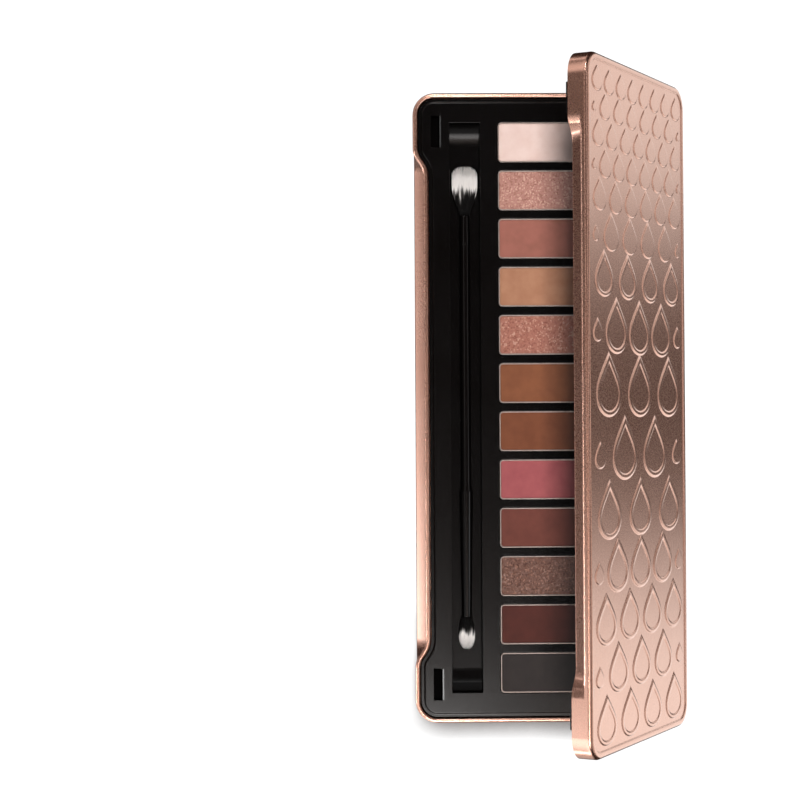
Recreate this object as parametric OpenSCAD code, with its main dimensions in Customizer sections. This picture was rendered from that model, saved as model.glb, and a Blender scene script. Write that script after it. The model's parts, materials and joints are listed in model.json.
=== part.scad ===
// Twelve-pan eyeshadow palette: a hinged pressed-metal case, a moulded insert that holds the
// pans of pressed powder and a double-ended brush, and a mirror in the lid.
// Millimetres, +Z up. The case lies flat and its origin is the centre of its underside.
// X runs along the case, -Y is the front edge with the finger recess, +Y is the hinge edge.

/* [Pans] */
// Length of one pan along the case
pan_l = 12.6; // [10:0.1:16]
// Width of one pan across the case
pan_w = 46.4; // [30:0.2:60]
// Height of one pan
pan_h = 4.4; // [3:0.1:6]
// Thickness of the pan's metal
pan_t = 0.35; // [0.2:0.05:0.6]
// Corner radius of the pans
pan_r = 1.2; // [0.8:0.1:3]
// Gap between neighbouring pans
pan_gap = 2.72; // [1.6:0.02:5]
// How far a pan's rim stands above the insert
pan_lip = 0.25; // [0.1:0.05:0.6]
// Depth of the powder's face below the pan's rim
powder_drop = 0.3; // [0.1:0.05:1]

/* [Case] */
// From the case's end to the first pan
end_margin = 9.44; // [8:0.02:20]
// From the front edge to the brush channel
front_margin = 11.7; // [11:0.1:20]
// From the pans to the hinge edge
rear_margin = 6.5; // [5:0.1:15]
// Height of the base, up to the top of its rim
base_h = 10; // [9:0.1:16]
// Height of the lid
lid_h = 6; // [5.6:0.1:10]
// Thickness of the pressed metal
sheet_t = 0.4; // [0.3:0.05:0.6]
// Corner radius of the case, seen from above
corner_r = 7; // [5:0.1:9]
// Radius of the base's lower edge
base_edge_r = 1.8; // [1:0.1:2.4]
// Radius of the lid's upper edge
lid_edge_r = 1.2; // [0.8:0.1:1.6]
// Diameter of the rolled rim
rim_d = 1.5; // [1.2:0.1:2]
// How far the rolled rim overhangs the wall below it
rim_overhang = 0.6; // [0.3:0.05:0.7]
// Gap between the closed lid and the rim
lid_gap = 0.3; // [0.2:0.05:0.6]
// Width of the flat border round the lid's pressed field
field_border = 2.6; // [2:0.1:6]
// Depth of the pressed field below its border
field_drop = 0.3; // [0.1:0.05:0.6]
// Angle that the lid stands open at
lid_open = 61; // [0:1:120]

/* [Finger recess] */
// From the case's end to where the recess starts
recess_end = 17.8; // [12:0.2:40]
// How far the front edge steps in
recess_depth = 3.3; // [2.6:0.1:3.8]
// Slope of the step, seen from above
recess_angle = 34; // [28:1:45]
// Radius of the two bends of the step
recess_r = 6; // [5:0.1:7]
// Height of the recess in the base, below the rim
base_recess_h = 5.5; // [3:0.1:5.6]
// Height of the recess in the lid
lid_recess_h = 3.8; // [2:0.1:3.9]

/* [Insert] */
// Gap between the rolled rim and the insert
insert_gap = 1.3; // [0.8:0.1:2]
// How far the insert's face lies below the rim's top
insert_drop = 0.6; // [0.2:0.1:1]
// Thickness of the insert's face
insert_t = 1.2; // [0.8:0.1:1.6]
// Thickness of the insert's inner walls and floors
insert_wall = 1; // [0.6:0.1:1.2]
// Thickness of the ledge round the insert, which closes the gap to the rim.
ledge_t = 0.4; // [0.3:0.1:0.6]
// Gap between that ledge and the rim or the hinge leaves.
ledge_play = 0.15; // [0.1:0.05:0.4]
// Clearance between a pan and its well
well_play = 0.15; // [0.05:0.05:0.3]
// Width of the brush channel
channel_w = 9.7; // [9.2:0.1:14]
// Between the brush channel and the pans
channel_web = 5.7; // [3:0.1:10]
// Height of the channel's floor above the case's floor
channel_floor = 3.2; // [3:0.1:3.4]
// Length of the scoop in which the channel's floor rises to each end
scoop_l = 7.4; // [4:0.1:9]
// Radius of the scoop's curve
scoop_r = 13; // [10:0.5:30]
// Length of a catch slot
slot_l = 10; // [6:0.1:11]
// Width of a catch slot
slot_w = 3.2; // [2.8:0.1:4]
// Depth of a catch slot
slot_depth = 5; // [4:0.1:6]
// From the case's end to a catch slot
slot_end = 7.2; // [5.5:0.1:10]
// From the front edge to a catch slot
slot_front = 5.8; // [5.2:0.1:6]

/* [Brush] */
// Diameter of the handle
handle_d = 3.2; // [2.4:0.1:3.8]
// Length of the handle between its two ferrules
handle_l = 78.6; // [60:0.2:90]
// Length of the handle's taper up to each ferrule
taper_l = 4; // [2:0.1:8]
// Length of the large ferrule
large_ferrule_l = 9.3; // [7:0.1:20]
// Diameter of the large ferrule at the handle
large_ferrule_d = 3.5; // [3.2:0.1:4]
// Length of the small ferrule
small_ferrule_l = 40; // [20:0.5:45]
// Diameter of the small ferrule at the handle
small_ferrule_d = 4.3; // [3.4:0.1:4.6]
// Diameter of both ferrules at their hair
ferrule_end_d = 3.1; // [2.8:0.1:3.4]
// Diameter of the handle's tenons and the hair's roots in the ferrules
tenon_d = 2.2; // [1.6:0.1:2.4]
// Length of a tenon or a root
tenon_l = 4; // [2:0.1:6]
// Length of the large tuft outside its ferrule
large_tuft_l = 15.9; // [10:0.1:18]
// Width of the large tuft
large_tuft_w = 8.4; // [6:0.1:8.6]
// Thickness of the large tuft
large_tuft_t = 4.4; // [3:0.1:4.6]
// Length of the small tuft outside its ferrule
small_tuft_l = 10.4; // [6:0.1:14]
// Width of the small tuft
small_tuft_w = 5.1; // [4:0.1:6]
// Thickness of the small tuft
small_tuft_t = 4.2; // [3:0.1:4.6]
// Clearance between the brush and the channel's floor
brush_play = 0.3; // [0.2:0.05:0.4]

/* [Lid lining] */
// How far the lining's face lies inside the lid's edge
lining_drop = 0.9; // [0.7:0.1:1.2]
// Thickness of the lining's plate behind the mirror
lining_t = 1; // [0.6:0.1:1.2]
// Clearance between the lining and the lid's inner wall
lining_play = 0.2; // [0.1:0.05:0.4]
// From the lining's ends to the mirror
mirror_end = 7; // [4:0.1:20]
// From the lining's front edge to the mirror
mirror_front = 7.2; // [6:0.1:15]
// From the lining's hinge edge to the mirror
mirror_rear = 5; // [3:0.1:15]
// Thickness of the mirror
mirror_t = 1.6; // [1:0.1:1.8]
// Depth of the mirror's face below the lining's face
mirror_drop = 0.3; // [0.1:0.1:0.5]
// Thickness of the mirror's adhesive sheet
tape_t = 0.3; // [0.2:0.05:0.4]
// Corner radius of the mirror
mirror_r = 2.5; // [1:0.1:6]
// Thickness of a catch hook
hook_t = 1.5; // [1:0.1:1.6]
// Clearance between a hook's ends and its slot
hook_play = 0.7; // [0.5:0.1:1.5]
// How far a hook stands out of the lining
hook_h = 4.2; // [3:0.1:4.6]
// How far a hook's barb stands out
hook_barb = 0.35; // [0.2:0.05:0.4]

/* [Hinges] */
// Distance between the middles of the two hinges
hinge_pitch = 110; // [60:1:150]
// Length of one hinge
hinge_l = 24; // [16:0.5:36]
// Length of a hinge's middle knuckle
knuckle_l = 8; // [5:0.1:12]
// Outer diameter of the knuckles
knuckle_d = 2.4; // [2.2:0.05:2.5]
// Gap between neighbouring knuckles
knuckle_gap = 0.3; // [0.2:0.05:0.5]
// Diameter of the hinge pins
pin_d = 1; // [0.8:0.05:1.2]
// Radial clearance of the pin in the lid's knuckle
pin_play = 0.05; // [0.02:0.01:0.08]
// Radial clearance of the pin in the base's knuckles
pin_grip = 0.02; // [0.01:0.01:0.03]
// Thickness of the hinge leaves
leaf_t = 0.6; // [0.4:0.05:0.7]
// Height of the base's hinge leaf
base_leaf_h = 6; // [3:0.1:7]
// Height of the lid's hinge leaf
lid_leaf_h = 3.4; // [2:0.1:3.6]
// Distance from the hinge axis to the case's rear edge
hinge_out = 0.9; // [0.8:0.05:1.1]

/* [Hidden] */
PANS = 12;
SCOOP_STEPS = 12;
SHADES = ["#efcdc1", "#b77f72", "#b8796c", "#c79572", "#bd8073", "#8f5a3c",
          "#85503a", "#b5596a", "#6f3a35", "#7b5f52", "#43201f", "#282625"];
rose_gold = "#c8937f";
satin_black = "#1b191a";
gloss_black = "#111010";
$fn = 48;

// Case, worked out from what it holds.
pan_pitch = pan_l + pan_gap;
pans_l = PANS * pan_l + (PANS - 1) * pan_gap;
case_l = pans_l + 2 * end_margin;
case_w = front_margin + channel_w + channel_web + pan_w + rear_margin;
front_y = -case_w / 2;
rear_y = case_w / 2;
channel_y = front_y + front_margin + channel_w / 2;
pans_y = rear_y - rear_margin - pan_w / 2;

// Levels, with the lid closed.
wall_top = base_h - rim_d;
insert_z = base_h - insert_drop;
pan_top = insert_z + pan_lip;
pan_bottom = pan_top - pan_h;
channel_z = sheet_t + channel_floor;
lid_z = base_h + lid_gap;
lid_top = lid_z + lid_h;
lining_z = lid_z + lining_drop;
mirror_z = lining_z + mirror_drop;
tape_z = mirror_z + mirror_t;
lining_plate_z = tape_z + tape_t;
lining_top = lid_top - field_drop - sheet_t;

// Insets of the nested pieces from the case's outline.
insert_inset = rim_d + insert_gap;
ledge_inset = max(rim_d, rim_overhang + sheet_t + leaf_t) + ledge_play;
lining_inset = sheet_t + leaf_t + lining_play;
spacer_inset = lid_edge_r + lining_inset;

// Catch slots and hooks.
slot_x = case_l / 2 - slot_end - slot_l / 2;
slot_y = front_y + slot_front + slot_w / 2;

// Hinge axis and its notches in the case.
hinge_y = rear_y + hinge_out;
hinge_z = base_h + lid_gap / 2;
arm_gap = 0.25;
pin_head_d = pin_d + 0.7;
pin_head_t = 0.4;
notch_l = hinge_l + 2 * (pin_head_t + 0.6);

// Brush, centred in its channel.
brush_l = large_tuft_l + large_ferrule_l + handle_l + small_ferrule_l + small_tuft_l;
brush_r = max(large_tuft_t, small_tuft_t, small_ferrule_d, large_ferrule_d, handle_d) / 2;
brush_z = channel_z + brush_play + brush_r;
large_ferrule_x = -brush_l / 2 + large_tuft_l;
handle_x = large_ferrule_x + large_ferrule_l;
small_ferrule_x = handle_x + handle_l;
small_tuft_x = small_ferrule_x + small_ferrule_l;
tenon_play = 0.02;
seat_step = 0.2;

// Half-widths of the tufts along their length, as shares of length and width.
FLUFFY = [[0, 0.36], [0.15, 0.46], [0.35, 0.68], [0.55, 0.88], [0.75, 1],
          [0.88, 0.97], [0.95, 0.8], [0.99, 0.45], [1, 0.1]];
POINTED = [[0, 0.6], [0.2, 0.76], [0.45, 0.96], [0.62, 1], [0.78, 0.92],
           [0.9, 0.68], [0.97, 0.38], [1, 0.1]];

function numbered(name, i) = str(name, i < 10 ? "_0" : "_", i);
function pan_x(i) = -pans_l / 2 + pan_l / 2 + (i - 1) * pan_pitch;
function smooth(t) = t * t * (3 - 2 * t);
function arc(c, r, from, to, steps) =
    [for (k = [0:steps]) let (a = from + (to - from) * k / steps) c + r * [cos(a), sin(a)]];
function flip(points) = [for (k = [len(points) - 1:-1:0]) [-points[k].x, points[k].y]];

// Left step of the front edge: out round one bend, along the slope and back round the other.
// share runs from 0, a straight edge, to 1, the full step.
bend_x = case_l / 2 - recess_end;
bend_drop = 2 * recess_r * (1 - cos(recess_angle));
bend_run = 2 * recess_r * sin(recess_angle)
    + max(0, recess_depth - bend_drop) / tan(recess_angle);
function step_points(inset, share) = [for (p = concat(
    arc([-bend_x, front_y + recess_r], recess_r - inset, 270, 270 + recess_angle, 4),
    arc([-bend_x + bend_run, front_y + recess_depth - recess_r], recess_r + inset,
        90 + recess_angle, 90, 4)))
    [p.x, front_y + inset + share * (p.y - front_y - inset)]];

// Outline of the case, drawn in by inset all round, with the front step at the given share.
function case_outline(inset, share) = let (
    r = max(corner_r - inset, 0.5),
    x = case_l / 2 - inset - r,
    y = case_w / 2 - inset - r,
    left = step_points(inset, share)
) concat(
    arc([-x, -y], r, 180, 270, 6), left, flip(left), arc([x, -y], r, 270, 360, 6),
    arc([x, y], r, 0, 90, 6), arc([-x, y], r, 90, 180, 6));

// Solid through a stack of rings of 3-D points, closed at the first and the last ring.
module skin(rings) {
    n = len(rings[0]);
    last = (len(rings) - 1) * n;
    polyhedron(
        points = [for (ring = rings) each ring],
        faces = concat(
            [[for (k = [0:n - 1]) k]],
            [[for (k = [n - 1:-1:0]) last + k]],
            [for (j = [0:len(rings) - 2], k = [0:n - 1])
                let (a = j * n + k, b = j * n + (k + 1) % n) each [[a, a + n, b + n], [a, b + n, b]]]));
}

// Shell of the case, from levels given as [inset, height, share of the front step].
module loft(levels) {
    skin([for (level = levels)
        [for (p = case_outline(level[0], level[2])) [p.x, p.y, level[1]]]]);
}

module rounded_box(l, w, h, r) {
    linear_extrude(h) {
        square([l - 2 * r, w], center = true);
        square([l, w - 2 * r], center = true);
        for (x = [-1, 1], y = [-1, 1])
            translate([x * (l / 2 - r), y * (w / 2 - r)]) circle(r);
    }
}

module along_x(x) {
    translate([x, 0, 0]) rotate([0, 90, 0]) children();
}

module at_hinges() {
    for (side = [-1, 1]) translate([side * hinge_pitch / 2, hinge_y, hinge_z]) children();
}

module lid_pose() {
    translate([0, hinge_y, hinge_z]) rotate([-lid_open, 0, 0])
        translate([0, -hinge_y, -hinge_z]) children();
}

// Pressed tray: rounded lower edge, wall with the finger recess, rolled rim, and back down inside.
module base_tray() {
    wall_in = rim_overhang + sheet_t;
    recess_z = wall_top - base_recess_h;
    rim_r = rim_d / 2;
    rim_start = -acos(max(-1, min(1, (rim_r - rim_overhang) / rim_r)));
    rim_finish = 360 - acos(max(-1, min(1, (rim_r - wall_in) / rim_r)));
    color(rose_gold) difference() {
        loft(concat(
            [for (a = [0:30:90]) [rim_overhang + base_edge_r * (1 - sin(a)),
                base_edge_r * (1 - cos(a)), 0]],
            [for (s = [0:0.25:1]) [rim_overhang, recess_z + base_recess_h * s, smooth(s)]],
            [for (k = [0:8]) let (a = rim_start + (rim_finish - rim_start) * k / 8)
                [rim_r * (1 - cos(a)), base_h - rim_r * (1 - sin(a)), 1]],
            [for (s = [1:-0.25:0]) [wall_in, recess_z + base_recess_h * s, smooth(s)]],
            [for (a = [90:-30:0]) [rim_overhang + base_edge_r - (base_edge_r - sheet_t) * sin(a),
                base_edge_r - (base_edge_r - sheet_t) * cos(a), 0]]));
        at_hinges() translate([-notch_l / 2, -hinge_out - rim_d - 0.15, wall_top + 0.1 - hinge_z])
            cube([notch_l, rim_d + 1, rim_d + 1]);
    }
}

// Pressed lid: from the inner face down to the edge, and back up outside to the pressed field.
module lid_shell() {
    edge = 0.12;
    color(rose_gold) lid_pose() difference() {
        loft(concat(
            [[field_border, lining_top, 0],
             [field_border - field_drop, lid_top - sheet_t, 0]],
            [for (a = [0:30:90]) [lid_edge_r - (lid_edge_r - sheet_t) * sin(a),
                lid_top - lid_edge_r + (lid_edge_r - sheet_t) * cos(a), 0]],
            [for (s = [0:0.25:1]) [sheet_t, lid_z + edge + lid_recess_h * (1 - s), smooth(s)]],
            [[sheet_t - edge, lid_z, 1], [edge, lid_z, 1]],
            [for (s = [1:-0.25:0]) [0, lid_z + edge + lid_recess_h * (1 - s), smooth(s)]],
            [for (a = [90:-30:0]) [lid_edge_r * (1 - sin(a)),
                lid_top - lid_edge_r * (1 - cos(a)), 0]],
            [[field_border - field_drop, lid_top, 0], [field_border, lid_top - field_drop, 0]]));
        at_hinges() translate([-notch_l / 2, -hinge_out - sheet_t - arm_gap / 2, -knuckle_d / 2])
            cube([notch_l, sheet_t + hinge_out, knuckle_d + knuckle_gap]);
    }
}

// Profile of the brush channel, whose floor rises in a scoop to each end, seen from the front.
module channel_profile(grow, top) {
    half = pans_l / 2;
    r = scoop_r + grow;
    last = asin((scoop_l + grow) / r);
    scoop = [for (k = [0:SCOOP_STEPS]) [half - scoop_l + r * sin(last * k / SCOOP_STEPS),
                                        channel_z + scoop_r - r * cos(last * k / SCOOP_STEPS)]];
    polygon(concat(
        [[-half - grow, top]],
        [for (k = [SCOOP_STEPS:-1:0]) [-scoop[k][0], scoop[k][1]]],
        scoop,
        [[half + grow, top]]));
}

module channel_solid(grow, top) {
    w = channel_w + 2 * grow;
    translate([0, channel_y + w / 2, 0]) rotate([90, 0, 0])
        linear_extrude(w) channel_profile(grow, top);
}

module catch_slots(grow, top) {
    h = slot_depth + grow;
    for (side = [-1, 1]) translate([side * slot_x, slot_y, insert_z - slot_depth - grow])
        translate([-slot_l / 2 - grow, -slot_w / 2 - grow, 0])
            cube([slot_l + 2 * grow, slot_w + 2 * grow, h + top]);
}

module insert_tray() {
    well_l = pan_l + 2 * well_play;
    well_w = pan_w + 2 * well_play;
    block_l = pans_l + 2 * well_play + 2 * insert_wall;
    block_w = well_w + 2 * insert_wall;
    color(satin_black) difference() {
        union() {
            translate([0, 0, insert_z - insert_t]) linear_extrude(insert_t)
                polygon(case_outline(insert_inset, 1));
            translate([0, 0, insert_z - insert_t]) linear_extrude(ledge_t)
                polygon(case_outline(ledge_inset, 1));
            translate([0, 0, sheet_t]) linear_extrude(insert_z - insert_t - sheet_t) difference() {
                polygon(case_outline(insert_inset, 1));
                polygon(case_outline(insert_inset + insert_wall, 1));
            }
            translate([-block_l / 2, pans_y - block_w / 2, pan_bottom - insert_wall])
                cube([block_l, block_w, insert_z - insert_t - pan_bottom + insert_wall]);
            channel_solid(insert_wall, insert_z - insert_t);
            catch_slots(insert_wall, -insert_t);
            // Feet under the wells, down to the case's floor.
            for (x = [-1, 0, 1], y = [-1, 1])
                translate([x * pans_l * 0.4 - insert_wall / 2, pans_y + y * pan_w / 4 - pan_w / 8,
                    sheet_t]) cube([insert_wall, pan_w / 4, pan_bottom - insert_wall - sheet_t]);
        }
        for (i = [1:PANS]) translate([pan_x(i), pans_y, pan_bottom])
            rounded_box(well_l, well_w, pan_h, pan_r + well_play);
        channel_solid(0, base_h);
        catch_slots(0, 1);
    }
}

module pan(i) {
    color("#cfc8c2") translate([pan_x(i), pans_y, pan_bottom]) difference() {
        rounded_box(pan_l, pan_w, pan_h, pan_r);
        translate([0, 0, pan_t])
            rounded_box(pan_l - 2 * pan_t, pan_w - 2 * pan_t, pan_h, pan_r - pan_t);
    }
}

module powder(i) {
    color(SHADES[i - 1]) translate([pan_x(i), pans_y, pan_bottom + pan_t])
        rounded_box(pan_l - 2 * pan_t, pan_w - 2 * pan_t, pan_h - pan_t - powder_drop, pan_r - pan_t);
}

// A moulded tray glued into the lid, with a pocket for the mirror and two catch hooks.
mirror_l = case_l - 2 * lining_inset - 2 * mirror_end;
mirror_w = case_w - 2 * lining_inset - mirror_front - mirror_rear;
mirror_y = (mirror_front - mirror_rear) / 2;
module lid_lining() {
    barb_h = 1.2;
    color(satin_black) lid_pose() difference() {
        union() {
            translate([0, 0, lining_z]) linear_extrude(lining_plate_z + lining_t - lining_z)
                polygon(case_outline(lining_inset, 1));
            translate([0, 0, lining_plate_z + lining_t])
                linear_extrude(lining_top - lining_plate_z - lining_t) difference() {
                    polygon(case_outline(spacer_inset, 1));
                    polygon(case_outline(spacer_inset + insert_wall, 1));
                }
            for (side = [-1, 1]) translate([side * slot_x - slot_l / 2 + hook_play,
                slot_y - hook_t / 2, lining_z - hook_h]) {
                cube([slot_l - 2 * hook_play, hook_t, hook_h + 0.2]);
                translate([0, -hook_barb, 0.3]) cube([slot_l - 2 * hook_play, hook_barb + 0.2, barb_h]);
            }
        }
        translate([0, mirror_y, lining_z - 0.1])
            rounded_box(mirror_l, mirror_w, lining_plate_z - lining_z + 0.1, mirror_r);
    }
}

module mirror_glass() {
    play = 0.1;
    color("#dfe6ea") lid_pose() translate([0, mirror_y, mirror_z])
        rounded_box(mirror_l - 2 * play, mirror_w - 2 * play, mirror_t, mirror_r - play);
}

module mirror_adhesive() {
    edge = 2;
    color("#f2f2ee") lid_pose() translate([0, mirror_y, tape_z])
        rounded_box(mirror_l - 2 * edge, mirror_w - 2 * edge, tape_t, mirror_r);
}

// Leaf inside the wall, with an arm and a knuckle at each x range; side is -1 below the axis
// in the base and 1 above it in the lid.
module hinge_leaf(side, wall_y, leaf_h, bore_r, spans) {
    difference() {
        union() {
            translate([-hinge_l / 2, wall_y - leaf_t, side > 0 ? arm_gap : -arm_gap - leaf_h])
                cube([hinge_l, leaf_t, leaf_h]);
            for (span = spans) {
                translate([span[0], wall_y - leaf_t, side > 0 ? arm_gap : -arm_gap - leaf_t])
                    cube([span[1] - span[0], leaf_t - wall_y, leaf_t]);
                along_x(span[0]) cylinder(d = knuckle_d, h = span[1] - span[0]);
            }
        }
        along_x(-hinge_l) cylinder(r = bore_r, h = 2 * hinge_l);
    }
}

module base_hinge_leaves() {
    outer = hinge_l / 2;
    inner = knuckle_l / 2 + knuckle_gap;
    color(rose_gold) at_hinges()
        hinge_leaf(-1, -hinge_out - rim_overhang - sheet_t, base_leaf_h, pin_d / 2 + pin_grip,
            [[-outer, -inner], [inner, outer]]);
}

module lid_hinge_leaves() {
    color(rose_gold) lid_pose() at_hinges()
        hinge_leaf(1, -hinge_out - sheet_t, lid_leaf_h, pin_d / 2 + pin_play,
            [[-knuckle_l / 2, knuckle_l / 2]]);
}

module hinge_pin(side) {
    head_x = hinge_l / 2 + 0.15;
    color("#b9b4b0") translate([side * hinge_pitch / 2, hinge_y, hinge_z]) {
        along_x(-head_x) cylinder(d = pin_d, h = 2 * head_x);
        along_x(-head_x - pin_head_t) cylinder(d = pin_head_d, h = pin_head_t);
        along_x(head_x) cylinder(d = pin_head_d, h = pin_head_t);
    }
}

module brush_axis(x) {
    translate([0, channel_y, brush_z]) along_x(x) children();
}

module brush_handle() {
    r = tenon_d / 2 - tenon_play;
    color(gloss_black) brush_axis(handle_x - tenon_l) rotate_extrude() polygon([
        [0, 0], [r, 0], [r, tenon_l], [large_ferrule_d / 2 - seat_step, tenon_l],
        [handle_d / 2, tenon_l + taper_l], [handle_d / 2, tenon_l + handle_l - taper_l],
        [small_ferrule_d / 2 - 2 * seat_step, tenon_l + handle_l],
        [r, tenon_l + handle_l], [r, 2 * tenon_l + handle_l], [0, 2 * tenon_l + handle_l]]);
}

// Tapered sleeve with a blind socket at each end, one for the handle and one for the hair.
module ferrule(from_d, to_d, l) {
    color(gloss_black) rotate_extrude() polygon([
        [0, tenon_l + 0.1], [tenon_d / 2, tenon_l + 0.1], [tenon_d / 2, 0], [from_d / 2 - 0.1, 0],
        [from_d / 2, 0.1], [to_d / 2, l - 0.1], [to_d / 2 - 0.1, l], [tenon_d / 2, l],
        [tenon_d / 2, l - tenon_l - 0.1], [0, l - tenon_l - 0.1]]);
}

module brush_ferrule_large() {
    brush_axis(large_ferrule_x) ferrule(ferrule_end_d, large_ferrule_d, large_ferrule_l);
}

module brush_ferrule_small() {
    brush_axis(small_ferrule_x) ferrule(small_ferrule_d, ferrule_end_d, small_ferrule_l);
}

// Hair: a round root in the ferrule and a flattened head outside it.
module tuft(l, w, t, profile) {
    color("#e9e6e3") {
        translate([0, 0, -tenon_l]) cylinder(d = tenon_d - 2 * tenon_play, h = tenon_l + seat_step);
        skin([for (p = profile) [for (a = [0:15:345])
            [p[1] * t / 2 * cos(a), p[1] * w / 2 * sin(a), p[0] * l]]]);
    }
}

module brush_tuft_large() {
    brush_axis(large_ferrule_x) rotate([0, 180, 0])
        tuft(large_tuft_l, large_tuft_w, large_tuft_t, FLUFFY);
}

module brush_tuft_small() {
    brush_axis(small_tuft_x) tuft(small_tuft_l, small_tuft_w, small_tuft_t, POINTED);
}

base_tray();
insert_tray();
base_hinge_leaves();
hinge_pin(-1);  // hinge_pin_left
hinge_pin(1);  // hinge_pin_right
for (i = [1:PANS]) {
    pan(i);
    powder(i);
}
lid_shell();
lid_hinge_leaves();
lid_lining();
mirror_glass();
mirror_adhesive();
brush_handle();
brush_ferrule_large();
brush_ferrule_small();
brush_tuft_large();
brush_tuft_small();
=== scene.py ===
"""Open eyeshadow palette: a pressed rose-gold case with an embossed lid, twelve pans of pressed
powder in a black insert, and a double-ended brush lying in its channel.

Metres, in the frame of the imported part: X runs along the case, -Y is its front edge, +Y its
hinges and +Z is up. Pieces of the lid are modelled closed and then turned open with it.
"""
import json
import math
import random

import bmesh
import bpy
from mathutils import Matrix, Vector


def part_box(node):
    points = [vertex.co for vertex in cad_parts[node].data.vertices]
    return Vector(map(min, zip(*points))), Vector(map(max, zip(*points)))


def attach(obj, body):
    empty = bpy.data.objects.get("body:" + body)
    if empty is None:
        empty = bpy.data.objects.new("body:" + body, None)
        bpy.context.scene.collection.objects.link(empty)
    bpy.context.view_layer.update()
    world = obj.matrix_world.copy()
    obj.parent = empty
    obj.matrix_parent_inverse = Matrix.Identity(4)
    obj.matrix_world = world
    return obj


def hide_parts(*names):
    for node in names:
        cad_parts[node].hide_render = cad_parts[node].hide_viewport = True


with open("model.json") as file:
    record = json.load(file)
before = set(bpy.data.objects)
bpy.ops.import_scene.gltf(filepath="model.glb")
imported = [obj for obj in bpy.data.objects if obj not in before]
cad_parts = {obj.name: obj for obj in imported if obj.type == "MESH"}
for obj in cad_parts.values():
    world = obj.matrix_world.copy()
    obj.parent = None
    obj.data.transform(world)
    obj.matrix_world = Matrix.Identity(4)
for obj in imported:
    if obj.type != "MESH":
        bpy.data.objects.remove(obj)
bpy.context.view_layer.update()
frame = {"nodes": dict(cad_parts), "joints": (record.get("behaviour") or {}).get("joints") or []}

MM = 0.001
NEAR = 0.01 * MM

# ---------------------------------------------------------------- sizes
case_lo, case_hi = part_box("base_tray")
insert_lo, insert_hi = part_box("insert_tray")
CASE_L = case_hi.x - case_lo.x
CASE_W = case_hi.y - case_lo.y
FRONT_Y = case_lo.y
RIM_TOP = case_hi.z
LEDGE_INSET = insert_lo.x - case_lo.x
PANS = sum(name.startswith("pan_") for name in frame["nodes"])

hinge = next(joint for joint in frame["joints"] if joint["name"] == "lid_hinge")
HINGE = Vector(hinge["pos_m"])
LID_OPEN = math.radians(-hinge["range_deg"][0])

# Pressed metal.
SHEET = 0.4 * MM
CORNER_R = 7 * MM
BASE_EDGE_R = 1.8 * MM
RIM_D = 1.5 * MM
RIM_OVERHANG = 0.6 * MM
LID_Z = RIM_TOP + 0.3 * MM
LID_TOP = LID_Z + 6 * MM
LID_EDGE_R = 1.2 * MM
LIP = 0.12 * MM
FIELD_BORDER = 2.6 * MM
FIELD_DROP = 0.3 * MM
FIELD_Z = LID_TOP - FIELD_DROP

# Finger recess: the front edge steps in along a slope with a bend at each end.
RECESS_X = CASE_L / 2 - 17.8 * MM
RECESS_DEPTH = 3.3 * MM
RECESS_ANGLE = math.radians(34)
BEND_L = 6 * MM * math.tan(RECESS_ANGLE / 2)
BASE_RECESS_H = 5.5 * MM
LID_RECESS_H = 3.8 * MM

# Petals pressed into the lid: relative lengths of the rows from the -X end on.
PETAL_ROWS = (8.2, 8.4, 8.8, 9.4, 10.4, 12, 14.4, 17.4, 19.8, 20, 18.4, 17, 16, 15.6, 15.4)
PETAL_WIDTH = 1.05
ROW_PITCH = 0.95
PETAL_RISE = 0.25 * MM

# Insert.
INSERT_INSET = 2.8 * MM
LEDGE_Z = insert_hi.z - 1.2 * MM
LEDGE_T = 0.4 * MM
CHANNEL_Y = (-28.3 * MM, -18.6 * MM)
CHANNEL_Z = 3.6 * MM
SCOOP_L = 7.4 * MM
SCOOP_R = 13 * MM
SCOOP_STEPS = 12
SLOT = Vector((10, 3.2, 5)) * MM
SLOT_X = 87.8 * MM
SLOT_Y = -32.6 * MM
WELL_PLAY = 0.15 * MM
PAN_R = 1.2 * MM
PAN_T = 0.35 * MM

# Lid lining and mirror, with the lid closed.
LINING_INSET = 1.2 * MM
LINING_Z = LID_Z + 0.9 * MM
LINING_T = 3.2 * MM
MIRROR_X = CASE_L / 2 - 8.2 * MM
MIRROR_Y = (-31.6 * MM, 33.8 * MM)
MIRROR_Z = LINING_Z + 0.3 * MM
MIRROR_T = 1.6 * MM
MIRROR_R = 2.5 * MM
HOOK_T = 1.5 * MM
HOOK_L = 8.6 * MM
HOOK_H = 4.2 * MM
HOOK_BARB = 0.35 * MM


# ---------------------------------------------------------------- modelling by hand
def only(*pieces):
    """Selects just these pieces and makes the first one active."""
    bpy.ops.object.select_all(action="DESELECT")
    for piece in pieces:
        piece.select_set(True)
    bpy.context.view_layer.objects.active = pieces[0]


def start(name, add, **settings):
    """Adds a primitive with nothing else selected, and opens it for editing."""
    bpy.ops.object.select_all(action="DESELECT")
    add(**settings)
    piece = bpy.context.object
    piece.name = piece.data.name = name
    bpy.ops.object.transform_apply(location=True, rotation=True, scale=True)
    bpy.ops.object.mode_set(mode="EDIT")
    return piece


def close():
    """Leaves edit mode with every face turned outwards."""
    bpy.ops.mesh.select_all(action="SELECT")
    bpy.ops.mesh.normals_make_consistent(inside=False)
    bpy.ops.object.mode_set(mode="OBJECT")


def pick(kind, test):
    """Selects only the verts, edges or faces of the open piece that pass the test."""
    bpy.ops.mesh.select_mode(type={"verts": "VERT", "edges": "EDGE", "faces": "FACE"}[kind])
    bpy.ops.mesh.select_all(action="DESELECT")
    data = bpy.context.object.data
    mesh = bmesh.from_edit_mesh(data)
    for part in getattr(mesh, kind):
        if test(part):
            part.select_set(True)
    bmesh.update_edit_mesh(data)


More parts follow.
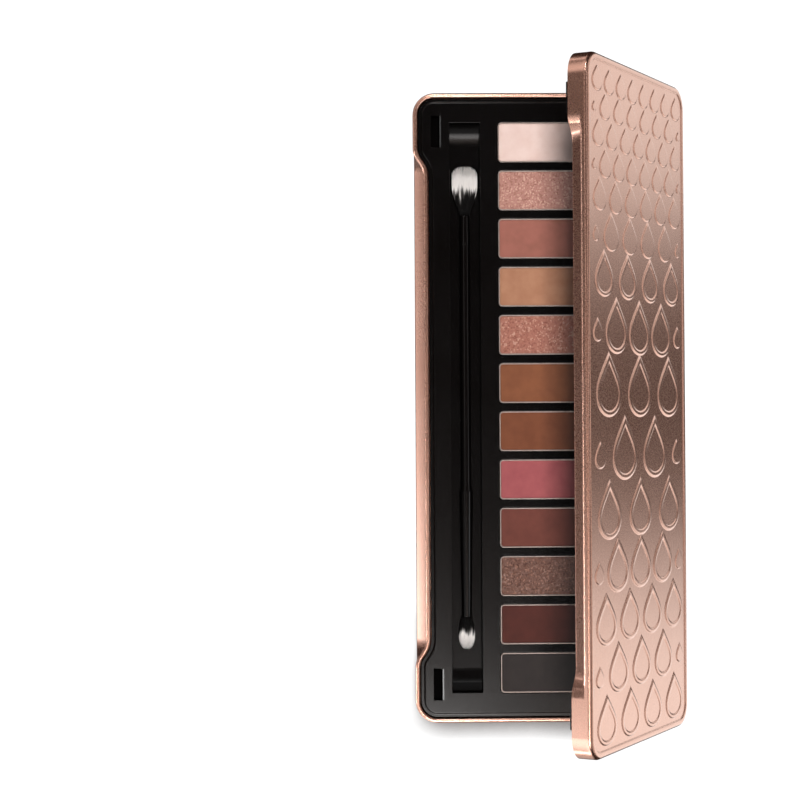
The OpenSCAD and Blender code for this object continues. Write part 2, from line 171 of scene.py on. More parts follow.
def at_level(z):
    """A test for edges and faces that lie wholly at height z."""
    return lambda part: all(abs(v.co.z - z) < NEAR for v in part.verts)


def upright(edge):
    """True for an edge that stands straight up."""
    a, b = (v.co for v in edge.verts)
    return abs(a.x - b.x) < NEAR and abs(a.y - b.y) < NEAR


def extrude(step):
    """Extrudes what is selected by a step."""
    bpy.ops.mesh.extrude_region_move(TRANSFORM_OT_translate={"value": step})


def apply(piece, kind, **settings):
    """Adds a modifier to the piece and applies it."""
    only(piece)
    modifier = piece.modifiers.new(kind.lower(), kind)
    for name, value in settings.items():
        setattr(modifier, name, value)
    bpy.ops.object.modifier_apply(modifier=modifier.name)


def carve(piece, cutter):
    """Cuts the shape of the cutter out of the piece, and the cutter is gone."""
    apply(piece, "BOOLEAN", operation="DIFFERENCE", object=cutter, solver="EXACT")
    bpy.data.objects.remove(cutter)


def join(*pieces):
    """Joins the pieces into the first one."""
    only(*pieces)
    bpy.ops.object.join()
    return pieces[0]


def shade(piece, angle=35):
    """Smooth shading with crisp edges, where flat faces stay flat beside their bevels."""
    only(piece)
    bpy.ops.object.shade_smooth_by_angle(angle=math.radians(angle))
    apply(piece, "WEIGHTED_NORMAL", keep_sharp=True)


def copy_of(piece, name, move):
    """A copy with a mesh of its own, moved to its place."""
    twin = piece.copy()
    twin.data = piece.data.copy()
    twin.name = twin.data.name = name
    bpy.context.scene.collection.objects.link(twin)
    twin.data.transform(Matrix.Translation(move))
    return twin


def box_between(name, lo, hi, corner_r=0.0, segments=5):
    """Box between two corners, with its upright edges rounded. It stays open for editing."""
    piece = start(name, bpy.ops.mesh.primitive_cube_add, size=1)
    bpy.ops.transform.resize(value=hi - lo, center_override=(0, 0, 0))
    bpy.ops.transform.translate(value=(lo + hi) / 2)
    if corner_r:
        pick("edges", upright)
        bpy.ops.mesh.bevel(offset=corner_r, segments=segments, affect="EDGES")
    return piece


def drawn_line(name, points):
    """Line drawn from point to point by extruding one vert. It stays open for editing."""
    piece = start(name, bpy.ops.mesh.primitive_plane_add, size=MM)
    bpy.ops.mesh.select_mode(type="VERT")
    bpy.ops.mesh.merge(type="CENTER")
    bpy.ops.transform.translate(value=points[0])
    for last, point in zip(points, points[1:]):
        extrude(point - last)
    return piece


def turn_open(piece):
    """Turns a piece that was modelled on the closed lid to where the open lid is."""
    turn = Matrix.Rotation(-LID_OPEN, 4, "X")
    piece.data.transform(Matrix.Translation(HINGE) @ turn @ Matrix.Translation(-HINGE))


def finish_piece(piece, finish, body, slot, *nodes):
    """Gives a piece its material and body and hides the CAD nodes it stands for; slot is not used."""
    piece.data.materials.clear()
    piece.data.materials.append(finish)
    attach(piece, body)
    if nodes:
        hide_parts(*nodes)


# ---------------------------------------------------------------- materials
def srgb(code):
    """Linear colour of a #rrggbb code."""
    parts = [int(code[k:k + 2], 16) / 255 for k in (1, 3, 5)]
    return (*[c / 12.92 if c <= 0.04045 else ((c + 0.055) / 1.055) ** 2.4 for c in parts], 1)


def node(tree, kind, sockets=None, **settings):
    """Adds a node, with values or links for its inputs."""
    made = tree.nodes.new(kind)
    for name, value in settings.items():
        setattr(made, name, value)
    for socket, value in (sockets or {}).items():
        if isinstance(value, bpy.types.NodeSocket):
            tree.links.new(value, made.inputs[socket])
        else:
            made.inputs[socket].default_value = value
    return made


def new_finish(name, values):
    """A new material with its tree, its shader and the object coordinates."""
    finish = bpy.data.materials.new(name)
    finish.use_nodes = True
    tree = finish.node_tree
    shader = tree.nodes["Principled BSDF"]
    for socket, value in values.items():
        shader.inputs[socket].default_value = value
    return finish, tree, shader, node(tree, "ShaderNodeTexCoord").outputs["Object"]


def grain(tree, where, scale, detail=4.0, stretch=(1, 1, 1)):
    """Noise of the given scale, stretched along the axes."""
    mapped = node(tree, "ShaderNodeMapping", {"Vector": where, "Scale": stretch})
    return node(tree, "ShaderNodeTexNoise", {
        "Vector": mapped.outputs["Vector"], "Scale": scale, "Detail": detail}).outputs["Fac"]


def tones(tree, share, stops):
    """Colour that follows the share through stops of (position, colour)."""
    ramp = node(tree, "ShaderNodeValToRGB", {"Fac": share}).color_ramp
    while len(ramp.elements) < len(stops):
        ramp.elements.new(0.5)
    for element, (position, colour) in zip(ramp.elements, stops):
        element.position = position
        element.color = srgb(colour)
    return ramp.id_data.nodes[-1].outputs["Color"]


def spread(tree, share, low, high, start_at=0.3, end_at=0.7):
    """Value that goes from low to high as the share rises."""
    return node(tree, "ShaderNodeMapRange", {
        "Value": share, "From Min": start_at, "From Max": end_at,
        "To Min": low, "To Max": high}).outputs["Result"]


def bump(tree, height, distance, strength=1.0, under=None):
    """Bump of the given depth in metres, on top of another bump if there is one."""
    sockets = {"Height": height, "Distance": distance, "Strength": strength}
    if under:
        sockets["Normal"] = under
    return node(tree, "ShaderNodeBump", sockets).outputs["Normal"]


def rose_gold(name, light, dark, rough):
    """Satin rose-gold lacquer over pressed metal."""
    finish, tree, shader, where = new_finish(
        name, {"Metallic": 1.0, "Coat Weight": 1.0, "Coat Roughness": 0.2})
    patches = grain(tree, where, 45)
    grains = grain(tree, where, 5200, 2)
    tree.links.new(tones(tree, patches, [(0.3, dark), (0.7, light)]), shader.inputs["Base Color"])
    tree.links.new(spread(tree, grains, rough - 0.03, rough + 0.05), shader.inputs["Roughness"])
    waves = bump(tree, patches, 0.02 * MM, 0.15)
    tree.links.new(bump(tree, grains, 0.001 * MM, 0.3, waves), shader.inputs["Normal"])
    return finish


def black_plastic(name, light, dark, rough, depth, shine, shaded_floor_shine=None):
    """Black plastic with a fine skin. Given a shaded floor shine, shade is painted into the shine by
    height: the channel's floor keeps that, its sides and ends less and the open face the full shine."""
    finish, tree, shader, where = new_finish(name, {"Specular IOR Level": shine})
    if shaded_floor_shine:
        # painted shade: the shine falls with depth in the channel, to the floor shine on its floor and
        # lower still on its sides and ends
        shaded_wall_shine = 0.02
        height = node(tree, "ShaderNodeSeparateXYZ", {"Vector": where}).outputs["Z"]
        low = spread(tree, height, shaded_floor_shine, shaded_wall_shine, CHANNEL_Z + 0.6 * MM, CHANNEL_Z + 0.95 * MM)
        high = spread(tree, height, 0, shine - shaded_wall_shine, CHANNEL_Z + 2.4 * MM, insert_hi.z - MM)
        shine_with_painted_shade = node(tree, "ShaderNodeMath", {0: low, 1: high}, operation="ADD").outputs[0]
        tree.links.new(shine_with_painted_shade, shader.inputs["Specular IOR Level"])
    skin = grain(tree, where, 2600, 3)
    cloud = grain(tree, where, 60, 3)
    tree.links.new(tones(tree, cloud, [(0.3, dark), (0.7, light)]), shader.inputs["Base Color"])
    tree.links.new(spread(tree, skin, rough - 0.04, rough + 0.06), shader.inputs["Roughness"])
    tree.links.new(bump(tree, skin, depth, 0.6), shader.inputs["Normal"])
    return finish


def plain_metal(name, light, dark, rough, stretch, metallic):
    """Plain metal with drawing marks along one way."""
    finish, tree, shader, where = new_finish(name, {"Metallic": metallic})
    marks = grain(tree, where, 1400, 4, stretch)
    tree.links.new(tones(tree, marks, [(0.3, dark), (0.7, light)]), shader.inputs["Base Color"])
    tree.links.new(spread(tree, marks, rough - 0.06, rough + 0.1), shader.inputs["Roughness"])
    tree.links.new(bump(tree, marks, 0.001 * MM, 0.3), shader.inputs["Normal"])
    return finish


def silver_mirror():
    """Silvered glass with the faintest haze."""
    finish, tree, shader, where = new_finish("mirror_silver", {"Metallic": 1.0})
    haze = grain(tree, where, 90, 5)
    tree.links.new(tones(tree, haze, [(0.3, "#e6ebee"), (0.7, "#f4f7f8")]),
                   shader.inputs["Base Color"])
    tree.links.new(spread(tree, haze, 0.01, 0.04), shader.inputs["Roughness"])
    return finish


def adhesive_foam():
    """White foam tape."""
    finish, tree, shader, where = new_finish("adhesive_foam", {"Roughness": 0.9})
    cells = grain(tree, where, 1800, 3)
    tree.links.new(tones(tree, cells, [(0.3, "#dcdad4"), (0.7, "#f6f5f1")]),
                   shader.inputs["Base Color"])
    tree.links.new(bump(tree, cells, 0.05 * MM), shader.inputs["Normal"])
    return finish


def matte_powder(name, colour, deep):
    """Pressed matte powder: chalky, with soft mottling and a fine tooth."""
    finish, tree, shader, where = new_finish(
        name, {"Roughness": 0.92, "Sheen Weight": 0.15, "Sheen Roughness": 0.6})
    mottle = grain(tree, where, 260, 6)
    tooth = grain(tree, where, 4200, 4)
    tree.links.new(tones(tree, mottle, [(0.2, deep), (0.65, colour)]), shader.inputs["Base Color"])
    hollows = bump(tree, mottle, 0.05 * MM, 0.35)
    tree.links.new(bump(tree, tooth, 0.03 * MM, 0.6, hollows), shader.inputs["Normal"])
    return finish


def shimmer_powder(name, colour, deep, painted_glint):
    """Pressed shimmer powder: mica flakes of several tones, each turned its own way, the lightest
    with a painted glint colour.
    """
    finish, tree, shader, where = new_finish(name, {})
    flakes = node(tree, "ShaderNodeTexVoronoi", {"Vector": where, "Scale": 2300.0})
    tone = node(tree, "ShaderNodeSeparateColor", {"Color": flakes.outputs["Color"]})
    # painted glint: the lightest flakes get the glint colour, a painted highlight beside their tilt and
    # shine
    tree.links.new(tones(tree, tone.outputs["Red"],
                         [(0.0, deep), (0.3, colour), (0.78, colour), (0.92, painted_glint)]),
                   shader.inputs["Base Color"])
    tree.links.new(spread(tree, tone.outputs["Green"], 0.0, 0.3, 0.4, 1),
                   shader.inputs["Metallic"])
    tree.links.new(spread(tree, tone.outputs["Blue"], 0.3, 0.6, 0, 1), shader.inputs["Roughness"])
    lean = node(tree, "ShaderNodeVectorMath", {
        0: flakes.outputs["Color"], 1: (0.5, 0.5, 0.5)}, operation="SUBTRACT")
    slight = node(tree, "ShaderNodeVectorMath", {0: lean.outputs[0], "Scale": 0.12},
                  operation="SCALE")
    tilted = node(tree, "ShaderNodeVectorMath", {
        0: node(tree, "ShaderNodeNewGeometry").outputs["Normal"], 1: slight.outputs[0]},
        operation="ADD")
    turned = node(tree, "ShaderNodeVectorMath", {0: tilted.outputs[0]}, operation="NORMALIZE")
    tree.links.new(turned.outputs[0], shader.inputs["Normal"])
    return finish


def hair(name, root_x, tip_x):
    """Soft hair that turns from black at the ferrule to white at the tips."""
    finish, tree, shader, where = new_finish(
        name, {"Roughness": 0.6, "Specular IOR Level": 0.15})
    along = node(tree, "ShaderNodeSeparateXYZ", {"Vector": where}).outputs["X"]
    streaks = grain(tree, where, 900, 3, (0.12, 1, 1))
    ragged = node(tree, "ShaderNodeMath", {
        0: spread(tree, along, 0, 1, root_x, tip_x), 1: spread(tree, streaks, -0.16, 0.16)},
        operation="ADD").outputs[0]
    tree.links.new(tones(tree, ragged, [(0.36, "#060505"), (0.44, "#5b5755"), (0.54, "#e6e0dc")]),
                   shader.inputs["Base Color"])
    return finish


# ---------------------------------------------------------------- pressed metal case
def case_face(name, inset, z):
    """One face with the case's outline, drawn in by inset, at height z, open for editing."""
    piece = start(name, bpy.ops.mesh.primitive_plane_add, size=1, location=(0, 0, z))
    bpy.ops.transform.resize(value=(CASE_L, CASE_W, 1), center_override=(0, 0, z))
    foot_x = RECESS_X - BEND_L
    top_x = foot_x - RECESS_DEPTH / math.tan(RECESS_ANGLE)
    for x in (-foot_x, -top_x, top_x, foot_x):
        bpy.ops.mesh.select_all(action="SELECT")
        bpy.ops.mesh.bisect(plane_co=(x, 0, z), plane_no=(1, 0, 0))
    pick("verts", lambda v: v.co.y < 0 and abs(abs(v.co.x) - top_x) < NEAR)
    bpy.ops.transform.translate(value=(0, RECESS_DEPTH, 0))
    bpy.ops.mesh.select_all(action="SELECT")
    bpy.ops.mesh.dissolve_faces()
    pick("verts", lambda v: abs(abs(v.co.x) - CASE_L / 2) < NEAR)
    bpy.ops.mesh.bevel(offset=CORNER_R, segments=10, affect="VERTICES")
    pick("verts", lambda v: v.co.y < 0
         and min(abs(abs(v.co.x) - x) for x in (top_x, foot_x)) < NEAR)
    bpy.ops.mesh.bevel(offset=BEND_L, segments=7, affect="VERTICES")
    bpy.ops.mesh.select_mode(type="FACE")
    bpy.ops.mesh.select_all(action="SELECT")
    if inset:
        bpy.ops.mesh.inset(thickness=inset, depth=0, use_even_offset=True)
        bpy.ops.mesh.select_all(action="INVERT")
        bpy.ops.mesh.delete(type="FACE")
        bpy.ops.mesh.select_all(action="SELECT")
    return piece


def draw_wall(z, levels, front_y):
    """Extrudes the open outline from z through levels of (height, share of the front step)."""
    share = 1.0
    for next_z, next_share in levels:
        extrude((0, 0, next_z - z))
        if next_share != share:
            pick("verts", lambda v: abs(v.co.z - next_z) < NEAR and abs(v.co.x) < RECESS_X + MM
                 and v.co.y < front_y + RECESS_DEPTH + NEAR)
            bpy.ops.transform.resize(value=(1, next_share / share, 1),
                                     center_override=(0, front_y, 0))
        pick("faces", at_level(next_z))
        z, share = next_z, next_share


def soften_fold(z):
    """Softens the fold at height z where the finger recess runs out into the wall."""
    pick("edges", lambda e: at_level(z)(e) and max(abs(v.co.x) for v in e.verts) < RECESS_X)
    bpy.ops.mesh.bevel(offset=0.3 * MM, segments=3, affect="EDGES")


def hinge_notches(z_lo, z_hi, y_lo, y_hi):
    """Boxes that clear room for the two hinges out of an edge."""
    room = 0.6 * MM
    boxes = []
    for side in ("left", "right"):
        lo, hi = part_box("hinge_pin_" + side)
        boxes.append(box_between("notch_" + side, Vector((lo.x - room, y_lo, z_lo)),
                                 Vector((hi.x + room, y_hi, z_hi))))
        close()
    return join(*boxes)


def base_shell():
    """Pressed tray of the base: rounded foot, wall with the finger recess and a rolled rim."""
    bead_z = RIM_TOP - RIM_D / 2
    wall_top = RIM_TOP - RIM_D
    wall = case_face("case_base", RIM_OVERHANG, bead_z)
    fold = wall_top - BASE_RECESS_H
    draw_wall(bead_z, [(wall_top, 1), (fold, 0), (0, 0)], FRONT_Y + RIM_OVERHANG)
    soften_fold(fold)
    pick("edges", at_level(0))
    bpy.ops.mesh.bevel(offset=BASE_EDGE_R, segments=7, affect="EDGES")
    pick("faces", at_level(bead_z))
    bpy.ops.mesh.delete(type="ONLY_FACE")
    close()
    apply(wall, "SOLIDIFY", thickness=SHEET, offset=-1, use_even_offset=True)
    bead = case_face("rolled_rim", RIM_D / 2, bead_z)
    bpy.ops.mesh.delete(type="ONLY_FACE")
    bpy.ops.object.mode_set(mode="OBJECT")
    bpy.ops.object.convert(target="CURVE")
    bead = bpy.context.object
    bead.data.bevel_depth = RIM_D / 2
    bead.data.bevel_resolution = 6
    bpy.ops.object.convert(target="MESH")
    bead = bpy.context.object
    notch_y = HINGE.y - 0.9 * MM - RIM_D - LIP
    for part in (wall, bead):
        carve(part, hinge_notches(wall_top + LIP, RIM_TOP + MM, notch_y, HINGE.y + MM))
    join(wall, bead)
    shade(wall)
    return wall


def lid_skin():
    """Pressed lid: skirt with the finger recess, rounded edge, flat border and sunk field."""
    lid = case_face("case_lid", 0, LID_Z)
    fold = LID_Z + LIP + LID_RECESS_H
    draw_wall(LID_Z, [(LID_Z + LIP, 1), (fold, 0), (LID_TOP, 0)], FRONT_Y)
    soften_fold(fold)
    pick("edges", at_level(LID_TOP))
    bpy.ops.mesh.bevel(offset=LID_EDGE_R, segments=6, affect="EDGES")
    pick("faces", at_level(LID_TOP))
    bpy.ops.mesh.inset(thickness=FIELD_BORDER - LID_EDGE_R - 2 * FIELD_DROP, use_even_offset=True)
    for step in (1, 3, 1):
        bpy.ops.mesh.inset(thickness=0.4 * FIELD_DROP, depth=-step * FIELD_DROP / 5,
                           use_even_offset=True)
    pick("faces", at_level(LID_Z))
    bpy.ops.mesh.delete(type="ONLY_FACE")
    close()
    apply(lid, "SOLIDIFY", thickness=SHEET, offset=-1, use_even_offset=True)
    notch_top = HINGE.z + 2.35 * MM
    notch_y = HINGE.y - 1.4 * MM
    carve(lid, hinge_notches(LID_Z - MM, notch_top, notch_y, HINGE.y + MM))
    return lid


def draw_in(centre, span, rise, steps):
    """Draws the selected face in towards the centre by a span, along a slope with soft ends."""
    softness = 3.5
    shares = [(k + 0.5) / steps for k in range(steps)]
    steepness = [min(1, softness * share, softness * (1 - share)) for share in shares]
    for steep in steepness:
        extrude((0, 0, rise * steep / sum(steepness)))
        size = 1 - span / steps
        bpy.ops.transform.resize(value=(size, size, 1), center_override=centre)


def petal(name, x, y, length, tiers):
    """Raised petal with its point towards -X: a round outline pulled to a point, then drawn in
    and up, with a second contour inside the large ones."""
    width = length * PETAL_WIDTH
    sunk = 0.15 * MM
    piece = start(name, bpy.ops.mesh.primitive_circle_add, vertices=28, radius=0.5,
                  fill_type="NGON")
    bpy.ops.transform.resize(value=(0.7 * length, width, 1), center_override=(0, 0, 0))
    pick("verts", lambda v: v.co.x < -0.349 * length)
    bpy.ops.transform.translate(
        value=(-0.3 * length, 0, 0), use_proportional_edit=True,
        proportional_edit_falloff="SHARP", proportional_size=0.62 * length)
    bpy.ops.mesh.select_mode(type="FACE")
    bpy.ops.mesh.select_all(action="SELECT")
    centre = (x + 0.15 * length, y, FIELD_Z - sunk)
    bpy.ops.transform.translate(value=centre)
    extrude((0, 0, sunk))
    slope = (0.03 * length + 0.65 * MM) / (0.5 * width)
    draw_in(centre, slope, PETAL_RISE, 6)
    if tiers > 1:
        draw_in(centre, 0.1, 0, 1)
        draw_in(centre, slope, -0.7 * PETAL_RISE, 6)
    close()
    return piece


def petal_places():
    """Place, length and contours of each petal, in staggered rows that fill the lid."""
    edge = FIELD_BORDER + 0.5 * MM
    field_w = CASE_W - 2 * edge
    used = ROW_PITCH * sum(PETAL_ROWS) + (1 - ROW_PITCH) * PETAL_ROWS[-1]
    scale = (CASE_L - 2 * edge) / used
    x = edge - CASE_L / 2
    for row, size in enumerate(PETAL_ROWS):
        length = size * scale
        count = round(field_w / (length * PETAL_WIDTH * 1.16))
        pitch = field_w / count
        shift = row % 2
        for k in range(count + shift):
            y = -field_w / 2 + pitch * (k + 0.5 - 0.5 * shift)
            if shift and k in (0, count):
                yield x + 0.6 * length, y + math.copysign(0.22 * pitch, -y), 0.42 * length, 1
            else:
                yield x + 0.5 * length, y, length, 2 if length > 13 * MM else 1
        x += length * ROW_PITCH


def lid_shell():
    """The whole pressed lid, with its petals."""
    lid = lid_skin()
    petals = [petal("petal", *place) for place in petal_places()]
    join(lid, *petals)
    shade(lid, 40)
    turn_open(lid)
    return lid


# ---------------------------------------------------------------- lid lining and mirror
def mirror_box(name, play, z_lo, z_hi):
    """Box with the mirror's outline, smaller by play all round. It stays open for editing."""
    return box_between(name, Vector((-MIRROR_X + play, MIRROR_Y[0] + play, z_lo)),
                       Vector((MIRROR_X - play, MIRROR_Y[1] - play, z_hi)), MIRROR_R)


def lid_lining():
    """Black moulded tray in the lid, with a pocket for the mirror and two catch hooks."""
    lining = case_face("lid_tray", LINING_INSET, LINING_Z)
    extrude((0, 0, LINING_T))
    pick("edges", at_level(LINING_Z))
    bpy.ops.mesh.bevel(offset=0.3 * MM, segments=3, affect="EDGES")
    close()
    pocket = mirror_box("pocket", 0, LINING_Z - MM, MIRROR_Z + MIRROR_T)
    close()
    carve(lining, pocket)
    apply(lining, "BEVEL", width=0.15 * MM, segments=2, angle_limit=math.radians(50))
    hooks = []
    hook_z = LINING_Z - HOOK_H
    barb_top = hook_z + 1.5 * MM
    for side in (-1, 1):
        x = side * SLOT_X
        hook = box_between("hook", Vector((x - HOOK_L / 2, SLOT_Y - HOOK_T / 2, hook_z)),
                           Vector((x + HOOK_L / 2, SLOT_Y + HOOK_T / 2, LINING_Z + 0.2 * MM)))
        pick("edges", at_level(hook_z))
        bpy.ops.mesh.bevel(offset=0.25 * MM, segments=3, affect="EDGES")
        for z in (barb_top, hook_z + 0.3 * MM):
            bpy.ops.mesh.select_all(action="SELECT")
            bpy.ops.mesh.bisect(plane_co=(0, 0, z), plane_no=(0, 0, 1))
        pick("faces", lambda f: f.normal.y < -0.9 and f.calc_center_median().z < barb_top)
        extrude((0, -HOOK_BARB, 0))
        close()
        hooks.append(hook)
    join(lining, *hooks)
    shade(lining)
    turn_open(lining)
    return lining


def mirror_glass():
    """Mirror with a ground edge."""
    glass = mirror_box("mirror", 0.1 * MM, MIRROR_Z, MIRROR_Z + MIRROR_T)
    pick("edges", at_level(MIRROR_Z))
    bpy.ops.mesh.bevel(offset=0.35 * MM, segments=1, affect="EDGES")
    close()
    shade(glass, 25)
    turn_open(glass)
    return glass


# ---------------------------------------------------------------- insert, pans and powders
def channel_cutter():
    """Shape of the brush channel, whose floor rises in a scoop to each end."""
    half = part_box("pan_%02d" % PANS)[1].x
    top = RIM_TOP + MM
    last = math.asin(SCOOP_L / SCOOP_R)
    curve = []
    for k in range(SCOOP_STEPS + 1):
        angle = last * k / SCOOP_STEPS
        curve.append((half - SCOOP_L + SCOOP_R * math.sin(angle),
                      CHANNEL_Z + SCOOP_R - SCOOP_R * math.cos(angle)))
    mirrored = [(-x, z) for x, z in reversed(curve)]
    corners = [(-half, top)] + mirrored + curve + [(half, top)]
    piece = drawn_line("channel", [Vector((x, CHANNEL_Y[0], z)) for x, z in corners])
    bpy.ops.mesh.select_all(action="SELECT")
    bpy.ops.mesh.edge_face_add()
    extrude((0, CHANNEL_Y[1] - CHANNEL_Y[0], 0))
    close()
    return piece


def slot_cutter(x):
    """Shape of a catch slot, with a sloping floor and a chamfer along its rear edge."""
    chamfer_w, chamfer_h = 0.55 * MM, 0.45 * MM
    floor_rise = 1.4 * MM
    front, rear = SLOT_Y - SLOT.y / 2, SLOT_Y + SLOT.y / 2
    inner = rear - chamfer_w
    top = insert_hi.z
    corners = [(front, top + MM), (front, top - SLOT.z + floor_rise), (inner, top - SLOT.z),
               (inner, top - chamfer_h), (rear, top), (rear, top + MM)]
    piece = drawn_line("slot", [Vector((x - SLOT.x / 2, y, z)) for y, z in corners])
    bpy.ops.mesh.select_all(action="SELECT")
    bpy.ops.mesh.edge_face_add()
    extrude((SLOT.x, 0, 0))
    close()
    return piece


def insert_tray():
    """Black moulded insert with the wells, the brush channel and the two catch slots."""
    tray = case_face("insert", INSERT_INSET, insert_hi.z)
    extrude((0, 0, insert_lo.z - insert_hi.z))
    pick("edges", at_level(insert_hi.z))
    bpy.ops.mesh.bevel(offset=0.5 * MM, segments=4, affect="EDGES")
    close()
    ledge = case_face("ledge", LEDGE_INSET, LEDGE_Z)
    extrude((0, 0, LEDGE_T))
    close()
    apply(tray, "BOOLEAN", operation="UNION", object=ledge, solver="EXACT")
    bpy.data.objects.remove(ledge)
    cutters = [channel_cutter()]
    play = Vector((WELL_PLAY, WELL_PLAY, 0))
    for number in range(1, PANS + 1):
        lo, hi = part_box("pan_%02d" % number)
        cutters.append(box_between("well", lo - play, hi + play, PAN_R + WELL_PLAY))
        close()
    cutters += [slot_cutter(-SLOT_X), slot_cutter(SLOT_X)]
    carve(tray, join(*cutters))
    apply(tray, "BEVEL", width=0.16 * MM, segments=2, angle_limit=math.radians(50))
    shade(tray)
    return tray


def pan(number):
    """Pressed tin pan: open tray with a rounded rim and foot."""
    lo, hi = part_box("pan_%02d" % number)
    piece = box_between("pan", lo, hi, PAN_R)
    pick("edges", at_level(lo.z))
    bpy.ops.mesh.bevel(offset=0.5 * MM, segments=3, affect="EDGES")
    pick("faces", at_level(hi.z))
    bpy.ops.mesh.inset(thickness=PAN_T, use_even_offset=True)
    extrude((0, 0, lo.z + PAN_T - hi.z))
    pick("edges", at_level(hi.z))
    bpy.ops.mesh.bevel(offset=0.1 * MM, segments=2, affect="EDGES")
    close()
    shade(piece)
    return piece


def powder(number):
    """Block of pressed powder with softened edges."""
    lo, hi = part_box("powder_%02d" % number)
    piece = box_between("powder", lo, hi, PAN_R - PAN_T)
    pick("edges", at_level(hi.z))
    bpy.ops.mesh.bevel(offset=0.3 * MM, segments=4, affect="EDGES")
    close()
    shade(piece)
    return piece


# ---------------------------------------------------------------- brush
brush_lo, brush_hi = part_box("brush_handle")
BRUSH_Y = (brush_lo.y + brush_hi.y) / 2
BRUSH_Z = (brush_lo.z + brush_hi.z) / 2


def turned(name, profile, steps=36):
    """Spins a profile of (x, radius) round the brush's axis."""
    piece = drawn_line(name, [Vector((x, BRUSH_Y, BRUSH_Z + r)) for x, r in profile])
    bpy.ops.mesh.select_all(action="SELECT")
    bpy.ops.mesh.spin(steps=steps, angle=math.tau, center=(0, BRUSH_Y, BRUSH_Z), axis=(1, 0, 0))
    bpy.ops.mesh.select_all(action="SELECT")
    bpy.ops.mesh.remove_doubles(threshold=0.1 * NEAR)
    close()
    shade(piece, 30)
    return piece


def rounded_ends(x0, x1, r0, r1, edge):
    """Profile of a round bar from x0 to x1 with rounded rims."""
    turn = 0.3
    way = math.copysign(1, x1 - x0)
    return [(x0, 0), (x0, r0 - edge), (x0 + way * turn * edge, r0 - turn * edge), (x0 + way * edge, r0),
            (x1 - way * edge, r1), (x1 - way * turn * edge, r1 - turn * edge), (x1, r1 - edge), (x1, 0)]


def brush_handle():
    """Lacquered handle that tapers a little towards its ferrules."""
    lo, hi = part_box("brush_handle")
    big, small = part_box("brush_ferrule_large")[1].x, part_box("brush_ferrule_small")[0].x
    r = (hi.z - lo.z) / 2
    taper = 4 * MM
    return turned("handle", [(big, 0), (big, r - 0.15 * MM), (big + taper, r - 0.1 * MM),
                             (big + 2 * taper, r - 0.1 * MM), (small - taper, r - 0.1 * MM),
                             (small, r), (small, 0)])


def ferrule(name, node_name, from_r, to_r):
    """Lacquered ferrule: a tapered sleeve with rounded lips."""
    lo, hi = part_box(node_name)
    return turned(name, rounded_ends(lo.x, hi.x, from_r, to_r, 0.15 * MM))


def tuft(name, node_name, way, count, fullness, blunt, seed):
    """Tuft of single hairs round a soft core. way is the sign of X from the ferrule to the tip,
    blunt the share by which the outer hairs are shorter."""
    dice = random.Random(seed)
    lo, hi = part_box(node_name)
    root_in = 4 * MM
    root_x = lo.x + root_in if way > 0 else hi.x - root_in
    length = (hi.x - lo.x) - root_in
    half_w, half_t = (hi.y - lo.y) / 2, (hi.z - lo.z) / 2
    verts, faces = [], []
    rings = 7
    for _ in range(count):
        reach = math.sqrt(dice.random())
        round_at = dice.random() * math.tau
        reach_l = length * (1 - blunt * reach ** 4 - 0.05 * dice.random())
        thick = dice.uniform(0.05, 0.08) * MM
        sway = [dice.uniform(-0.12, 0.12) * MM for _ in range(2)]
        first = len(verts)
        for ring in range(rings):
            t = ring / (rings - 1)
            along = t * reach_l
            open_w = fullness(along / length)
            y = BRUSH_Y + reach * math.cos(round_at) * half_w * open_w + sway[0] * t * t
            z = BRUSH_Z + reach * math.sin(round_at) * half_t * open_w + sway[1] * t * t
            r = thick * (1 - 0.75 * t ** 3)
            for side in range(3):
                a = side * math.tau / 3 + round_at
                verts.append((root_x + way * along, y + r * math.cos(a), z + r * math.sin(a)))
        for ring in range(rings - 1):
            for side in range(3):
                a = first + 3 * ring + side
                b = first + 3 * ring + (side + 1) % 3
                faces.append((a, a + 3, b + 3, b) if way > 0 else (a, b, b + 3, a + 3))
        caps = [(first, first + 1, first + 2), (len(verts) - 1, len(verts) - 2, len(verts) - 3)]
        faces.extend(caps if way > 0 else [cap[::-1] for cap in caps])
    data = bpy.data.meshes.new(name)
    data.from_pydata(verts, [], faces)
    hairs = bpy.data.objects.new(name, data)
    bpy.context.scene.collection.objects.link(hairs)
    core_reach, steps = 0.86, 12
    core = [(root_x, 0)]
    for k in range(steps):
        r = 0.8 * half_w * fullness(core_reach * k / steps) * math.sqrt(max(0, 1 - (k / steps) ** 6))
        core.append((root_x + way * length * core_reach * k / steps, r))
    core.append((root_x + way * length * core_reach, 0))
    heart = turned(name + "_core", core, 24)
    bpy.ops.object.mode_set(mode="EDIT")
    bpy.ops.mesh.select_all(action="SELECT")
    bpy.ops.transform.resize(value=(1, 1, half_t / half_w), center_override=(0, BRUSH_Y, BRUSH_Z))
    bpy.ops.object.mode_set(mode="OBJECT")
    join(hairs, heart)
    only(hairs)
    bpy.ops.object.shade_smooth()
    return hairs


def fluffy(t):
    """Half-width of the large tuft along its length, as a share of its full half-width."""
    return 0.34 + 0.66 * math.sin(min(1, t / 0.62) * math.pi / 2) ** 1.3


def pointed(t):
    """Half-width of the small tuft along its length."""
    return 0.58 + 0.42 * math.sin(min(1, t / 0.6) * math.pi / 2) - 0.25 * max(0, t - 0.6) ** 1.2


# ---------------------------------------------------------------- studio
def add_camera():
    """Camera high over the front edge, with the case standing upright in the picture."""
    spot = Vector((3.99, -55.13, 614.86)) * MM
    ahead = Vector((-0.01065, 0.01758, -0.99979))
    right = ahead.cross(Vector((-1, 0.0057, 0))).normalized()
    up = right.cross(ahead)
    bpy.ops.object.camera_add(location=spot)
    camera = bpy.context.object
    camera.rotation_euler = Matrix((right, up, -ahead)).transposed().to_euler()
    camera.data.sensor_width = 36
    camera.data.lens = 85.84
    camera.data.clip_start = 0.01
    bpy.context.scene.camera = camera


